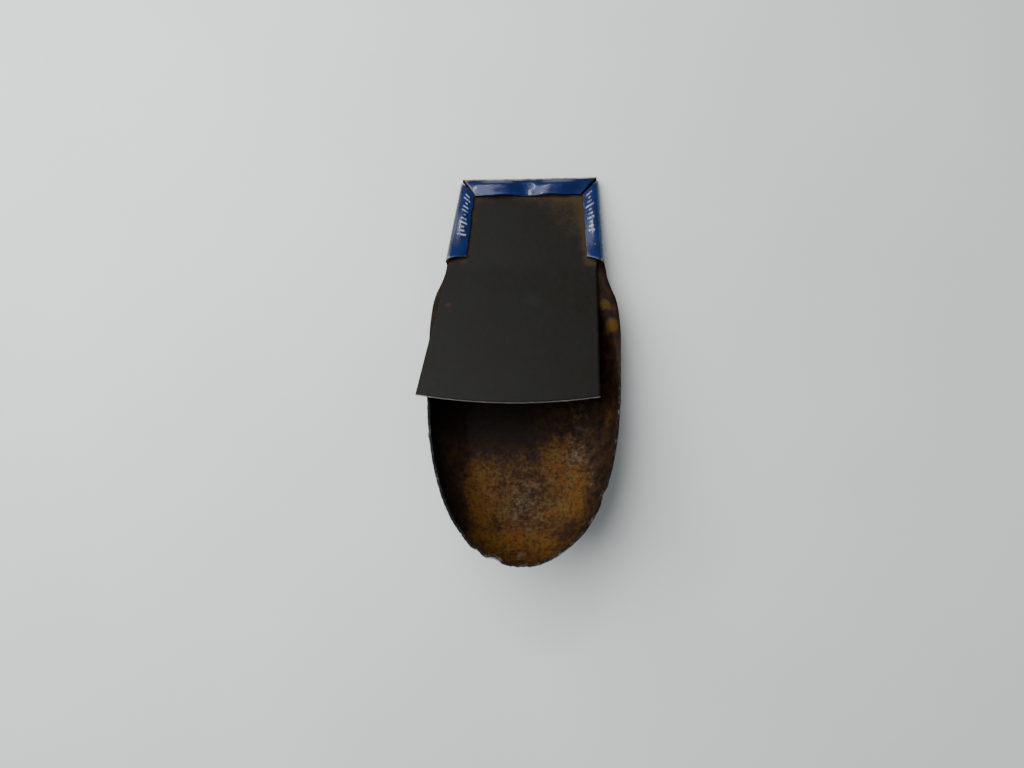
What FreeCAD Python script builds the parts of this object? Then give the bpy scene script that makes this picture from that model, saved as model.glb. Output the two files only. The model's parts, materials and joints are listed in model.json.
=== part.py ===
import FreeCAD, Part
import math
import os
import Sketcher

# A tinplate clicker, the noisemaker with a spring steel tongue over a drawn bowl.
# The sheet frame, in which every sub-part is drawn: Z = 0 is the inner face of the flat
# tinplate, X runs across, Y runs from the bowl (-Y) to the clamp (+Y), and Y = 0 is where
# the bowl is widest. The model's own frame is the clicker lying on its bowl and heel.

DIMENSIONS = [
    ("tin", 0.30, "thickness of the tinplate"),
    ("steel", 0.32, "thickness of the spring steel tongue"),
    ("bowl_near", 26.0, "bowl, from its widest line to its free end"),
    ("bowl_far", 8.6, "bowl, from its widest line to its end under the tongue"),
    ("wall_drop", 7.4, "half height of the ellipse that the bowl's wall follows"),
    ("bowl_middle", -8.5, "Y of the middle of the bowl's flat bottom"),
    ("end_radius", 8.9, "rim radius at the free end"),
    ("side_radius", 57.6, "rim radius along the sides"),
    ("corner_radius", 7.0, "rim radius at the corners under the tongue"),
    ("shoulder_start", 2.0, "Y where the flat plate leaves the bowl's side"),
    ("shoulder_wide", 11.4, "half width of the plate on its shoulders"),
    ("shoulder_high", 7.7, "Y of that width"),
    ("neck_wide", 10.5, "half width of the plate below the clamp"),
    ("neck_low", 10.3, "Y where the shoulders have come in to the neck"),
    ("neck_high", 11.9, "Y where the neck ends"),
    ("clamp_low", 12.35, "Y of the side tabs' lower ends"),
    ("left_low", -9.97, "X of the left fold line, lower end"),
    ("left_far", -8.45, "X of the left fold line, far end"),
    ("right_low", 9.62, "X of the right fold line, lower end"),
    ("right_far", 8.98, "X of the right fold line, far end"),
    ("far_left", 24.25, "Y of the end fold line, left end"),
    ("far_right", 25.05, "Y of the end fold line, right end"),
    ("left_tab_low", 2.15, "reach of the left tab from its fold line, lower end"),
    ("left_tab_far", 1.45, "reach of the left tab from its fold line, far end"),
    ("right_tab", 1.75, "reach of the right tab from its fold line"),
    ("end_tab", 2.6, "reach of the end tab from its fold line"),
    ("tab_under", 0.42, "height of the tabs' undersides"),
    ("mitre_gap", 0.35, "gap between tabs at the two far corners"),
    ("tongue_under", 0.03, "gap under the clamped end of the tongue"),
    ("bend_line", 11.9, "Y of the line that the tongue bends on"),
    ("bend_gap", 0.03, "half the gap between the two tongue solids"),
    ("root_far", 23.9, "Y of the clamped end of the tongue"),
    ("root_far_left", -8.45, "X of its left corner there"),
    ("root_far_right", 9.03, "X of its right corner there"),
    ("bend_left", -10.1, "X of the tongue's left edge on the bend line"),
    ("bend_right", 9.12, "X of the tongue's right edge on the bend line"),
    ("tip_left", -13.0, "X of the left corner of the free end"),
    ("tip_left_reach", -6.25, "Y of the left corner of the free end"),
    ("tip_right", 9.14, "X of the right corner of the free end"),
    ("tip_right_reach", -6.0, "Y of the right corner of the free end"),
    ("tip_radius", 67.5, "radius of the free end's curve"),
    ("tongue_rise", 4.5, "degrees that the tongue stands up from the plate at rest"),
    ("rest_tilt", 13.53, "degrees that the clamp end is down, lying on bowl and heel"),
]

# The bowl's wall is an ellipse in section. It is drawn through these angles from the rim, and
# the last one is the crease round the flat bottom.
WALL_ANGLES = [0, 14, 28, 41, 53]
# Half the bowl's mean breadth, which sets how the wall leans where its thickness is taken.
MEAN_HALF_BREADTH = 14.0

ORIGIN = (-1, 1)
Y_AXIS = -2

doc = FreeCAD.newDocument("tin_clicker")
sheet = doc.addObject("Spreadsheet::Sheet", "Dimensions")


def set_cell(row, alias, number, note):
    """One row of the sheet: what it is, its value and its name.

    A level's size is its outline's, as a share of the rim's; its drop is its depth under the
    rim; its wall and base are the sheet's thickness there, taken across and down.
    """
    sheet.set(f"A{row}", note)
    sheet.set(f"B{row}", str(number))
    sheet.setAlias(f"B{row}", alias)


def fill_sheet():
    """The driving dimensions, then the bowl's levels, which follow from its wall curve."""
    rows = list(DIMENSIONS)
    given = {alias: number for alias, number, _ in DIMENSIONS}
    for level, degrees in enumerate(WALL_ANGLES):
        angle = math.radians(degrees)
        across = math.cos(angle) / MEAN_HALF_BREADTH
        down = math.sin(angle) / given["wall_drop"]
        lean = math.atan2(down, across)
        values = {
            "size": math.cos(angle),
            "drop": given["wall_drop"] * math.sin(angle),
            "wall": given["tin"] * math.cos(lean),
            "base": given["tin"] * math.sin(lean),
        }
        for name, value in values.items():
            rows.append((f"{name}_{level}", round(value, 5), f"{name} at level {level}"))
    for row, (alias, number, note) in enumerate(rows, start=1):
        set_cell(row, alias, number, note)
    doc.recompute()


def number(expression):
    """What an expression in the sheet's aliases comes to."""
    return float(sheet.evalExpression(expression))


def bound(expression):
    """The same expression as another object has to write it."""
    words = []
    for word in expression.split():
        words.append(f"Dimensions.{word}" if word[0].isalpha() else word)
    return " ".join(words)


def new_body(name):
    body = doc.addObject("PartDesign::Body", name)
    body.Label = name
    return body


def new_sketch(body, name, plane, height="0"):
    """An empty sketch on one of the body's origin planes, moved off it by height."""
    sketch = body.newObject("Sketcher::SketchObject", name)
    support = next(f for f in body.Origin.OriginFeatures if f.Role == plane)
    sketch.AttachmentSupport = [(support, "")]
    sketch.MapMode = "FlatFace"
    sketch.setExpression(".AttachmentOffset.Base.z", bound(height))
    return sketch


def drive(sketch, kind, elements, expression):
    """A dimension of the sketch, bound to the sheet."""
    index = sketch.addConstraint(Sketcher.Constraint(kind, *elements, number(expression)))
    sketch.setExpression(f"Constraints[{index}]", bound(expression))


def join(sketch, kind, *elements):
    sketch.addConstraint(Sketcher.Constraint(kind, *elements))


def draw_polygon(sketch, corners):
    """Straight sides between corners, each corner bound to the sheet."""
    points = [FreeCAD.Vector(number(x), number(y), 0) for x, y in corners]
    count = len(points)
    for i, point in enumerate(points):
        sketch.addGeometry(Part.LineSegment(point, points[(i + 1) % count]))
    for i, (x, y) in enumerate(corners):
        join(sketch, "Coincident", i, 2, (i + 1) % count, 1)
        drive(sketch, "DistanceX", (*ORIGIN, i, 1), x)
        drive(sketch, "DistanceY", (*ORIGIN, i, 1), y)


def add_pad(body, name, sketch, length, downward=False):
    pad = body.newObject("PartDesign::Pad", name)
    pad.Profile = sketch
    pad.setExpression("Length", bound(length))
    pad.Reversed = downward
    return pad


def add_loft(body, name, sections, subtractive=False):
    kind = "PartDesign::SubtractiveLoft" if subtractive else "PartDesign::AdditiveLoft"
    loft = body.newObject(kind, name)
    loft.Profile = sections[0]
    loft.Sections = sections[1:]
    return loft


def draw_rim(sketch, level, wall="0"):
    """The bowl's outline at one level of its wall, drawn in by the wall's thickness.

    Six edges, each tangent to the next: the free end, the right side, its corner, the
    straight end under the tongue, the left corner and the left side.
    """
    middle = number("bowl_middle")
    size = number(f"size_{level}")
    inset = number(wall)
    end, side, corner = (
        number(f"{name} * size_{level} - {wall}")
        for name in ("end_radius", "side_radius", "corner_radius")
    )
    end_y = middle + size * (number("end_radius - bowl_near") - middle)
    side_y = middle - size * middle
    far_y = middle + size * (number("bowl_far") - middle) - inset
    side_x = -math.sqrt((side - end) ** 2 - (side_y - end_y) ** 2)
    corner_y = far_y - corner
    corner_x = side_x + math.sqrt((side - corner) ** 2 - (corner_y - side_y) ** 2)
    low = math.atan2(end_y - side_y, -side_x)
    high = math.atan2(corner_y - side_y, corner_x - side_x)

    def arc(x, y, radius, start, finish):
        circle = Part.Circle(FreeCAD.Vector(x, y, 0), FreeCAD.Vector(0, 0, 1), radius)
        sketch.addGeometry(Part.ArcOfCircle(circle, start, finish))

    arc(0, end_y, end, math.pi - low, 2 * math.pi + low)
    arc(side_x, side_y, side, low, high)
    arc(corner_x, corner_y, corner, high, math.pi / 2)
    far_end = [FreeCAD.Vector(x, far_y, 0) for x in (corner_x, -corner_x)]
    sketch.addGeometry(Part.LineSegment(*far_end))
    arc(-corner_x, corner_y, corner, math.pi / 2, math.pi - high)
    arc(-side_x, side_y, side, math.pi - high, math.pi - low)

    for edge in range(6):
        join(sketch, "Tangent", edge, 2, (edge + 1) % 6, 1)
    join(sketch, "PointOnObject", 0, 3, Y_AXIS)
    join(sketch, "Equal", 1, 5)
    join(sketch, "Equal", 2, 4)
    join(sketch, "Horizontal", 3)
    join(sketch, "Horizontal", 1, 3, 5, 3)
    drive(sketch, "Radius", (0,), f"end_radius * size_{level} - {wall}")
    drive(sketch, "Radius", (1,), f"side_radius * size_{level} - {wall}")
    drive(sketch, "Radius", (2,), f"corner_radius * size_{level} - {wall}")
    end_place = f"bowl_middle + size_{level} * ( end_radius - bowl_near - bowl_middle )"
    drive(sketch, "DistanceY", (*ORIGIN, 0, 3), end_place)
    drive(sketch, "DistanceY", (0, 3, 1, 3), f"size_{level} * ( bowl_near - end_radius )")
    length = f"size_{level} * ( bowl_far + bowl_near - end_radius ) - {wall}"
    drive(sketch, "DistanceY", (0, 3, 3, 1), length)


def draw_fold(sketch, x, side):
    """A fold in section: a half ring from the plate up to the tab, round the centre x."""
    outer = number("( tab_under + tin * 2 ) / 2")
    inner = number("tab_under / 2")
    centre = FreeCAD.Vector(number(x), inner, 0)
    start = -math.pi / 2 if side > 0 else math.pi / 2
    for radius in (outer, inner):
        circle = Part.Circle(centre, FreeCAD.Vector(0, 0, 1), radius)
        sketch.addGeometry(Part.ArcOfCircle(circle, start, start + math.pi))
    for way in (1, -1):
        ends = [centre + FreeCAD.Vector(0, way * radius, 0) for radius in (outer, inner)]
        sketch.addGeometry(Part.LineSegment(*ends))
    upper, lower = (2, 1) if side > 0 else (1, 2)
    for line, end in ((2, upper), (3, lower)):
        join(sketch, "Coincident", line, 1, 0, end)
        join(sketch, "Coincident", line, 2, 1, end)
        join(sketch, "Vertical", line)
    join(sketch, "Coincident", 0, 3, 1, 3)
    join(sketch, "Vertical", 0, 1, 0, 3)
    join(sketch, "Vertical", 0, 2, 0, 3)
    drive(sketch, "Radius", (0,), "( tab_under + tin * 2 ) / 2")
    drive(sketch, "Radius", (1,), "tab_under / 2")
    drive(sketch, "DistanceX", (*ORIGIN, 0, 3), x)
    drive(sketch, "DistanceY", (*ORIGIN, 0, 3), "tab_under / 2")


def add_plate(body):
    """The flat sheet under the clamp, with the shoulders that run out to the bowl."""
    half = [
        ("shoulder_wide", "shoulder_start"),
        ("shoulder_wide", "shoulder_high"),
        ("neck_wide", "neck_low"),
        ("neck_wide", "neck_high"),
    ]
    clamp = [
        ("right_low", "clamp_low"),
        ("right_far", "far_right - mitre_gap"),
        ("right_far - mitre_gap", "far_right"),
        ("left_far + mitre_gap", "far_left"),
        ("left_far", "far_left - mitre_gap"),
        ("left_low", "clamp_low"),
    ]
    other_half = [(f"0 - {x}", y) for x, y in reversed(half)]
    sketch = new_sketch(body, "plate_outline", "XY_Plane")
    draw_polygon(sketch, half + clamp + other_half)
    add_pad(body, "plate", sketch, "tin", downward=True)


def add_bowl(body):
    """The drawn bowl: its outside lofted through the levels of its wall, then hollowed."""
    levels = range(len(WALL_ANGLES))
    outside, inside = [], []
    for level in levels:
        outline = new_sketch(body, f"outside_{level}", "XY_Plane", f"0 - drop_{level}")
        draw_rim(outline, level)
        outside.append(outline)
    add_loft(body, "bowl_outside", outside)
    for level in levels:
        height = f"base_{level} - drop_{level}"
        outline = new_sketch(body, f"inside_{level}", "XY_Plane", height)
        draw_rim(outline, level, f"wall_{level}")
        inside.append(outline)
    add_loft(body, "bowl_inside", inside, subtractive=True)


def add_tab(body, name, corners):
    """The flat of a tab, over the tongue."""
    sketch = new_sketch(body, f"{name}_outline", "XY_Plane", "tab_under")
    draw_polygon(sketch, corners)
    add_pad(body, name, sketch, "tin")


def add_side_fold(body, name, side, low, far):
    """The fold along one side of the clamp. XZ sketches face -Y, so their heights do too."""
    sections = []
    for end, (x, y) in {"low": low, "far": far}.items():
        sketch = new_sketch(body, f"{name}_{end}", "XZ_Plane", f"0 - ( {y} )")
        draw_fold(sketch, x, side)
        sections.append(sketch)
    add_loft(body, name, sections)


def add_end_fold(body, left, right):
    """The fold across the far end of the clamp."""
    sections = []
    for end, (x, y) in {"left": left, "right": right}.items():
        sketch = new_sketch(body, f"end_fold_{end}", "YZ_Plane", x)
        draw_fold(sketch, y, 1)
        sections.append(sketch)
    add_loft(body, "end_fold", sections)


def build_tin_body():
    """One sheet of tinplate: bowl, plate, three folds and the three tabs they carry."""
    body = new_body("tin_body")
    add_plate(body)
    add_bowl(body)

    left_low = ("left_low", "clamp_low")
    left_far = ("left_far", "far_left - mitre_gap")
    left_reach = "left_far + left_tab_far"
    add_side_fold(body, "left_fold", -1, left_low, left_far)
    add_tab(body, "left_tab", [
        left_low,
        ("left_low + left_tab_low", "clamp_low"),
        (left_reach, "far_left - end_tab - mitre_gap"),
        left_far,
    ])

    right_low = ("right_low", "clamp_low")
    right_far = ("right_far", "far_right - mitre_gap")
    right_reach = "right_far - right_tab"
    add_side_fold(body, "right_fold", 1, right_low, right_far)
    add_tab(body, "right_tab", [
        right_far,
        (right_reach, "far_right - end_tab - mitre_gap"),
        ("right_low - right_tab", "clamp_low"),
        right_low,
    ])

    end_left = ("left_far + mitre_gap", "far_left")
    end_right = ("right_far - mitre_gap", "far_right")
    add_end_fold(body, end_left, end_right)
    add_tab(body, "end_tab", [
        end_left,
        (f"{left_reach} + mitre_gap", "far_left - end_tab"),
        (f"{right_reach} - mitre_gap", "far_right - end_tab"),
        end_right,
    ])
    return body


def build_tongue_root():
    """The clamped end of the tongue, from the bend line to under the end tab."""
    body = new_body("tongue_root")
    sketch = new_sketch(body, "root_outline", "XY_Plane", "tongue_under")
    draw_polygon(sketch, [
        ("bend_left", "bend_line + bend_gap"),
        ("bend_right", "bend_line + bend_gap"),
        ("root_far_right", "root_far"),
        ("root_far_left", "root_far"),
    ])
    add_pad(body, "root", sketch, "steel")
    return body


def build_tongue_blade():
    """The free end of the tongue, drawn flat: a fan with a gently curved end."""
    body = new_body("tongue_blade")
    sketch = new_sketch(body, "blade_outline", "XY_Plane", "tongue_under")
    corners = [
        ("tip_right", "tip_right_reach"),
        ("bend_right", "bend_line - bend_gap"),
        ("bend_left", "bend_line - bend_gap"),
        ("tip_left", "tip_left_reach"),
    ]
    points = [FreeCAD.Vector(number(x), number(y), 0) for x, y in corners]
    for start, finish in zip(points, points[1:]):
        sketch.addGeometry(Part.LineSegment(start, finish))
    radius = number("tip_radius")
    chord = points[0] - points[3]
    middle = (points[0] + points[3]) * 0.5
    up = FreeCAD.Vector(-chord.y, chord.x, 0) / chord.Length
    centre = middle + up * math.sqrt(radius**2 - (chord.Length / 2) ** 2)
    start, finish = (math.atan2(p.y - centre.y, p.x - centre.x) for p in (points[3], points[0]))
    circle = Part.Circle(centre, FreeCAD.Vector(0, 0, 1), radius)
    sketch.addGeometry(Part.ArcOfCircle(circle, start, finish))
    for edge in range(4):
        join(sketch, "Coincident", edge, 2, (edge + 1) % 4, 1)
        x, y = corners[edge]
        drive(sketch, "DistanceX", (*ORIGIN, edge, 1), x)
        drive(sketch, "DistanceY", (*ORIGIN, edge, 1), y)
    drive(sketch, "Radius", (3,), "tip_radius")
    add_pad(body, "blade", sketch, "steel")
    return body


def about_x(degrees, y=0.0, z=0.0):
    """A turn about a line along X through this Y and Z."""
    turn = FreeCAD.Rotation(FreeCAD.Vector(1, 0, 0), degrees)
    return FreeCAD.Placement(FreeCAD.Vector(), turn, FreeCAD.Vector(0, y, z))


def lay_down(tin_body, tongue_root, tongue_blade):
    """Gives each sub-part its place: the clicker lying on its bowl and the heel of its clamp.

    The origin is under the middle of the model's box, on the surface that it lies on.
    """
    rise = about_x(-number("tongue_rise"), number("bend_line"), number("tongue_under + steel / 2"))
    tilt = about_x(-number("rest_tilt"))
    places = {tin_body: tilt, tongue_root: tilt, tongue_blade: tilt.multiply(rise)}
    box = FreeCAD.BoundBox()
    for body, place in places.items():
        shape = body.Shape.copy()
        shape.Placement = place
        box.add(shape.optimalBoundingBox(False))
    shift = FreeCAD.Placement()
    shift.Base = FreeCAD.Vector(-box.Center.x, -box.Center.y, -box.ZMin)
    for body, place in places.items():
        body.Placement = shift.multiply(place)
    doc.recompute()


def check_and_write(bodies):
    """Stops on any failed object, then writes each sub-part as a STEP file."""
    failed = [o.Name for o in doc.Objects if {"Invalid", "Error"} & set(o.State)]
    if failed:
        raise SystemExit(f"failed: {failed}")
    for body in bodies:
        shape = body.Shape
        if shape.isNull() or not shape.isValid() or len(shape.Solids) != 1:
            raise SystemExit(f"{body.Label} isn't one valid solid")
        shape.exportStep(os.path.join("parts", f"{body.Label}.step"))
        print(f"{body.Label}: {shape.Volume:.1f} mm3")


def main():
    os.makedirs("parts", exist_ok=True)
    fill_sheet()
    bodies = [build_tin_body(), build_tongue_root(), build_tongue_blade()]
    doc.recompute()
    lay_down(*bodies)
    check_and_write(bodies)


main()
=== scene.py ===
"""A pocket tin clicker: a pressed tinplate bowl with a folded clamp and a steel tongue."""

import json
import logging
import math
from collections.abc import Sequence
from dataclasses import dataclass, field
from enum import Enum

import bmesh
import bpy
from mathutils import Matrix, Vector, noise


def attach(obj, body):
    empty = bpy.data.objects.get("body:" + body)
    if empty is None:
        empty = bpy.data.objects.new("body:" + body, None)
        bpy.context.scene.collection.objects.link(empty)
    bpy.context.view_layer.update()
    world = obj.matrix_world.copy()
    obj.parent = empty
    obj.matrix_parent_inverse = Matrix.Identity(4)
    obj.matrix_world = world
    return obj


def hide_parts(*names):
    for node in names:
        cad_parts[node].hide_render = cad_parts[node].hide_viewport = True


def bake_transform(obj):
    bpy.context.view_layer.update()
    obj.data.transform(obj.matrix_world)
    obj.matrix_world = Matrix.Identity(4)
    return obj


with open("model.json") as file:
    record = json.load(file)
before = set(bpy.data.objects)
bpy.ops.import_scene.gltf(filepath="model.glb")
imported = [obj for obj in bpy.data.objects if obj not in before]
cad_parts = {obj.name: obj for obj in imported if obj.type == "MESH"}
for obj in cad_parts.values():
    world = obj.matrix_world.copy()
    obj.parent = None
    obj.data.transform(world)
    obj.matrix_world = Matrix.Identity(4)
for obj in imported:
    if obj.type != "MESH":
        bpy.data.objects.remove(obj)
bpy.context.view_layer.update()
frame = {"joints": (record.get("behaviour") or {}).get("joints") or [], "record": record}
LOG = logging.getLogger("tin_clicker")
MM = 0.001

Colour = tuple[float, float, float]


class Side(Enum):
    """The side of the clamp that a tab is folded over from."""

    LEFT = "left"
    RIGHT = "right"
    END = "end"


class Skin(Enum):
    """The slots of a sheet's mesh, in order: its outside, its inside and its cut edge."""

    ENAMEL = 0
    RUST = 1
    CUT_EDGE = 2


def smooth(low: float, high: float, value: float) -> float:
    """A soft step from 0 at low to 1 at high.

    Args:
        low: where the step starts.
        high: where the step ends; it may be less than low.
        value: what is measured.

    Returns:
        A share from 0 to 1.
    """
    share = min(1.0, max(0.0, (value - low) / (high - low)))
    return share * share * (3.0 - 2.0 * share)


def hump(value: float, centre: float, width: float) -> float:
    """A bell of height 1 about a centre."""
    return math.exp(-(((value - centre) / width) ** 2))


def lerp(a: float, b: float, share: float) -> float:
    """The number a given share of the way from a to b."""
    return a + (b - a) * share


@dataclass(frozen=True)
class Patch:
    """A soft oval patch on the sheet: its middle, its spread both ways and its strength.

    Places and spreads are in millimetres. A negative strength takes away.
    """

    x: float
    y: float
    wide: float
    long: float
    strength: float = 1.0

    def share(self, x: float, y: float) -> float:
        """How strong the patch is at a place."""
        return self.strength * hump(x, self.x, self.wide) * hump(y, self.y, self.long)


def patched(patches: Sequence[Patch], x: float, y: float) -> float:
    """How strong a set of patches is, added up, at a place."""
    return sum(patch.share(x, y) for patch in patches)


# Bare grey tin: mid bottom, two streaks right of it, the right wall, a speck by the near rim.
BARE_TIN = (
    Patch(0.3, -17.8, 3.0, 4.0, 0.14),
    Patch(6.5, -11.5, 2.0, 2.2, 0.20),
    Patch(7.2, -7.5, 1.8, 4.0, 0.22),
    Patch(9.2, -15.5, 1.2, 2.2, 0.20),
    Patch(0.1, -24.4, 0.6, 0.7, 0.45),
)
# Ochre blotches down the right wall.
BLOTCHES = (
    Patch(10.1, 7.0, 1.0, 1.2, 0.66),
    Patch(11.0, 4.2, 1.0, 1.5, 0.70),
    Patch(10.8, -7.3, 1.0, 3.0, 0.50),
)
# Orange rust: a belt inside each side wall, a thin middle and a patch on the right.
LEFT_BELT = Patch(-5.6, -17.5, 1.5, 4.6)
RIGHT_BELT = Patch(7.3, -18.0, 1.8, 3.4)
THIN_MIDDLE = Patch(0.6, -17.0, 2.4, 3.0, 0.10)
RIGHT_BLOOM = Patch(5.0, -10.2, 3.4, 3.2, 0.36)
# A bite out of the right of the rim, and a burr that stands out on its left.
RIM_NICKS = (
    Patch(9.6, -17.6, 0.5, 0.8, 0.20),
    Patch(-11.5, -10.8, 0.4, 0.25, -0.10),
)
# Rust spots and a pale rub on the tongue.
TONGUE_SPOTS = (
    Patch(-9.7, 6.0, 0.45, 0.5, 0.55),
    Patch(6.6, -3.6, 0.5, 0.5, 0.40),
)
TONGUE_SCUFF = Patch(1.0, 7.0, 1.8, 1.4, 0.55)


@dataclass(frozen=True)
class SheetPlace:
    """Where the flat of the tinplate lies: millimetres on it turned to metres in the frame.

    On the sheet, Z is 0 on the face under the tongue, Y runs from the bowl to the clamp, and
    Y is 0 on the widest line of the bowl.
    """

    turn: Matrix
    base: Vector

    @classmethod
    def from_frame(cls, bend: Vector) -> "SheetPlace":
        """Reads the tilt off the mount on the neck's back and the place off the hinge.

        Args:
            bend: the hinge's place on the sheet, in millimetres.

        Returns:
            The sheet's place.
        """
        normal = frame["record"]["mounts"][0]["axis"]
        turn = Matrix.Rotation(-math.atan2(-normal[1], -normal[2]), 3, "X")
        hinge = Vector(frame["joints"][0]["pos_m"])
        return cls(turn, hinge - turn @ (bend * MM))

    def point(self, x: float, y: float, z: float) -> Vector:
        """A point of the sheet, in metres in the frame."""
        return self.base + self.turn @ (Vector((x, y, z)) * MM)

    def put(self, mesh: bpy.types.Mesh) -> None:
        """Moves a mesh drawn in millimetres on the sheet to its place."""
        matrix = Matrix.Translation(self.base) @ self.turn.to_4x4() @ Matrix.Scale(MM, 4)
        mesh.transform(matrix)


class NodePad:
    """Lays out the nodes of one material, which reads Object coordinates in millimetres."""

    def __init__(self, name: str) -> None:
        """Starts a material with only its shader and its coordinates.

        Args:
            name: the finish's name.
        """
        self.material = bpy.data.materials.new(name)
        self.material.use_nodes = True
        self.tree = self.material.node_tree
        self.shader = self.tree.nodes["Principled BSDF"]
        source = self.tree.nodes.new("ShaderNodeTexCoord")
        mapping = self.tree.nodes.new("ShaderNodeMapping")
        mapping.inputs["Scale"].default_value = (1 / MM, 1 / MM, 1 / MM)
        self.tree.links.new(source.outputs["Object"], mapping.inputs["Vector"])
        self.place = mapping.outputs["Vector"]

    def feed(self, socket: bpy.types.NodeSocket, value: object) -> None:
        """Links a socket to another's output, or sets it to a plain value.

        Args:
            socket: the socket that is fed.
            value: an output socket, a number or a colour.
        """
        if isinstance(value, bpy.types.NodeSocket):
            self.tree.links.new(value, socket)
        elif isinstance(value, tuple) and len(value) == 3 and len(socket.default_value) == 4:
            socket.default_value = (*value, 1.0)
        else:
            socket.default_value = value

    def noise(self, scale: float, detail: float = 4.0, rough: float = 0.6,
              stretch: Colour = (1.0, 1.0, 1.0), shift: float = 0.0) -> bpy.types.NodeSocket:
        """A cloudy pattern.

        Args:
            scale: features to the millimetre, about.
            detail: how many finer layers it has.
            rough: how strong those layers are.
            stretch: how much finer it is along X, Y and Z.
            shift: moves it, in millimetres, so that two patterns differ.

        Returns:
            The pattern's value socket.
        """
        mapping = self.tree.nodes.new("ShaderNodeMapping")
        mapping.inputs["Scale"].default_value = stretch
        mapping.inputs["Location"].default_value = (shift, shift * 0.7, shift * 1.3)
        self.feed(mapping.inputs["Vector"], self.place)
        node = self.tree.nodes.new("ShaderNodeTexNoise")
        node.inputs["Scale"].default_value = scale
        node.inputs["Detail"].default_value = detail
        node.inputs["Roughness"].default_value = rough
        self.feed(node.inputs["Vector"], mapping.outputs["Vector"])
        return node.outputs["Fac"]

    def zone(self, name: str) -> bpy.types.NodeSocket:
        """A zone painted on the mesh as a named attribute.

        Args:
            name: the attribute's name.

        Returns:
            The zone's value socket.
        """
        node = self.tree.nodes.new("ShaderNodeAttribute")
        node.attribute_type = "GEOMETRY"
        node.attribute_name = name
        return node.outputs["Fac"]

    def maths(self, kind: str, a: object, b: object) -> bpy.types.NodeSocket:
        """The result of one operation on two values.

        Args:
            kind: the operation, as the node names it.
            a: the first value, a socket or a number.
            b: the second value.

        Returns:
            The result's socket.
        """
        node = self.tree.nodes.new("ShaderNodeMath")
        node.operation = kind
        self.feed(node.inputs[0], a)
        self.feed(node.inputs[1], b)
        return node.outputs[0]

    def plus(self, a: object, b: object, times: float) -> bpy.types.NodeSocket:
        """The sum of a and so many times b."""
        return self.maths("ADD", a, self.maths("MULTIPLY", b, times))

    def step(self, value: object, low: float, high: float, start: float = 0.0,
             finish: float = 1.0) -> bpy.types.NodeSocket:
        """A soft step of a value.

        Args:
            value: the value that is read.
            low: where the step starts.
            high: where it ends.
            start: what comes out before the step.
            finish: what comes out after it.

        Returns:
            The stepped value.
        """
        node = self.tree.nodes.new("ShaderNodeMapRange")
        node.interpolation_type = "SMOOTHSTEP"
        self.feed(node.inputs["Value"], value)
        settings = {"From Min": low, "From Max": high, "To Min": start, "To Max": finish}
        for name, number in settings.items():
            node.inputs[name].default_value = number
        return node.outputs["Result"]

    def mix(self, share: object, under: object, over: object) -> bpy.types.NodeSocket:
        """One colour laid over another by a share.

        Args:
            share: how much of the upper colour shows.
            under: the lower colour.
            over: the upper colour.

        Returns:
            The mixed colour's socket.
        """
        node = self.tree.nodes.new("ShaderNodeMix")
        node.data_type = "RGBA"
        self.feed(node.inputs["Factor"], share)
        # Sockets 6, 7 and 2 are the colours of this node; those before them are for numbers.
        self.feed(node.inputs[6], under)
        self.feed(node.inputs[7], over)
        return node.outputs[2]

    def dress(self, colour: object, roughness: object, bump: object, depth: float,
              **plain: object) -> bpy.types.Material:
        """Ends the material: colour, roughness and bump, and the values that are the same all over.

        Args:
            colour: the colour socket.
            roughness: the roughness socket.
            bump: the height socket.
            depth: the height of the bump, in millimetres.
            plain: values set straight on the shader, with _ for a space in a name.

        Returns:
            The material.
        """
        self.feed(self.shader.inputs["Base Color"], colour)
        self.feed(self.shader.inputs["Roughness"], roughness)
        node = self.tree.nodes.new("ShaderNodeBump")
        node.inputs["Distance"].default_value = depth * MM
        self.feed(node.inputs["Height"], bump)
        self.feed(self.shader.inputs["Normal"], node.outputs["Normal"])
        for name, value in plain.items():
            self.feed(self.shader.inputs[name.replace("_", " ")], value)
        return self.material


@dataclass(frozen=True)
class BlueEnamel:
    """Glossy blue litho enamel, scuffed through to tin and rust along its edges."""

    blue: Colour = (0.0035, 0.0120, 0.072)
    deep: Colour = (0.0022, 0.0070, 0.040)
    rubbed: Colour = (0.040, 0.062, 0.080)
    tin: Colour = (0.20, 0.195, 0.17)
    rust: Colour = (0.085, 0.042, 0.010)

    def material(self) -> bpy.types.Material:
        """Builds the finish.

        Returns:
            The material.
        """
        pad = NodePad("blue_enamel")
        cloud = pad.noise(0.35, 5.0, 0.6)
        fine = pad.noise(3.2, 6.0, 0.7, shift=9.0)
        scratch = pad.noise(1.1, 3.0, 0.7, stretch=(6.0, 0.5, 3.0), shift=21.0)
        enamel = pad.mix(pad.step(cloud, 0.3, 0.7), self.deep, self.blue)
        worn = pad.plus(pad.zone("wear"), cloud, 0.5)
        enamel = pad.mix(pad.step(worn, 0.42, 0.85, 0.0, 0.75), enamel, self.rubbed)
        wear = pad.plus(pad.zone("wear"), fine, 0.9)
        wear = pad.maths("ADD", wear, pad.step(scratch, 0.69, 0.80, 0.0, 0.30))
        chipped = pad.step(wear, 0.98, 1.10)
        rusted = pad.step(pad.noise(0.9, 4.0, 0.7, shift=4.0), 0.36, 0.60)
        under = pad.mix(rusted, self.tin, self.rust)
        colour = pad.mix(chipped, enamel, under)
        gloss = pad.step(fine, 0.3, 0.8, 0.16, 0.30)
        roughness = pad.plus(gloss, chipped, 0.30)
        height = pad.maths("SUBTRACT", pad.maths("MULTIPLY", fine, 0.25), chipped)
        return pad.dress(colour, roughness, height, 0.03, Coat_Weight=0.14,
                         Coat_Roughness=0.06, Specular_IOR_Level=0.20)


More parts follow.
